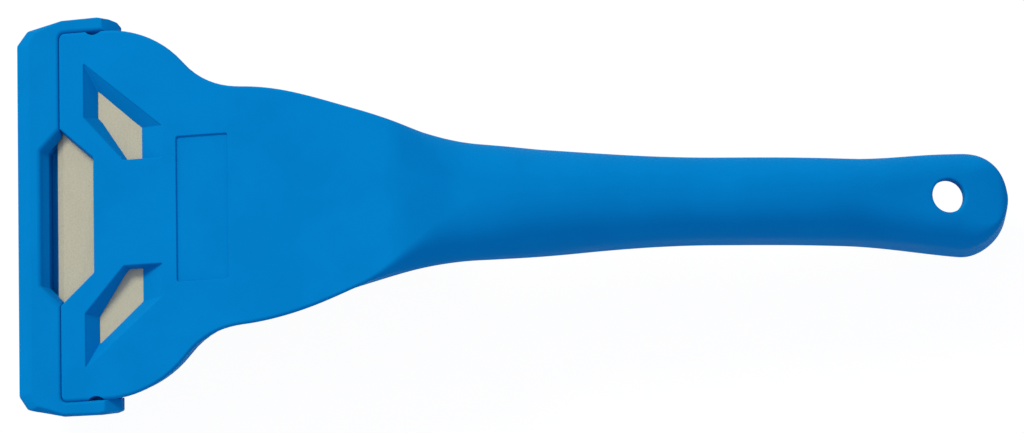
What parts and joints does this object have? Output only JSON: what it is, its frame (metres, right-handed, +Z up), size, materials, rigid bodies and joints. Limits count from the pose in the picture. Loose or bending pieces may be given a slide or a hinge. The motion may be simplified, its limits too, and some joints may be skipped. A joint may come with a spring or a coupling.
{
  "type": "razor blade scraper",
  "caption": "Hand scraper with a flat slotted head that holds a wide straight blade, a slim arched handle with a hanging hole at its tail, and a push-on blade guard.",
  "frame": {"origin": "middle of the part's length and width on the table it lies on, with the guard's nose and the handle's rim touching the table", "axes": "+X from the blade to the tail of the handle, +Y along the cutting edge, +Z up"},
  "size_m": [0.1702, 0.07, 0.0211],
  "materials": {
    "body_plastic": "satin moulded blue plastic",
    "blade_steel": "finely ground steel with a warm grey tone",
    "guard_plastic": "satin moulded blue plastic"
  },
  "bodies": {
    "body": {"body": "body_plastic"},
    "blade": {"blade": "blade_steel"},
    "guard": {"guard": "guard_plastic"}
  },
  "joints": [
    {"name": "blade_draw", "type": "slide", "parent": "body", "child": "blade", "axis": [-0.9693, 0, -0.246], "range_m": [0, 0.016]},
    {"name": "guard_pull", "type": "slide", "parent": "blade", "child": "guard", "axis": [-0.9693, 0, -0.246], "range_m": [0, 0.012]}
  ]
}
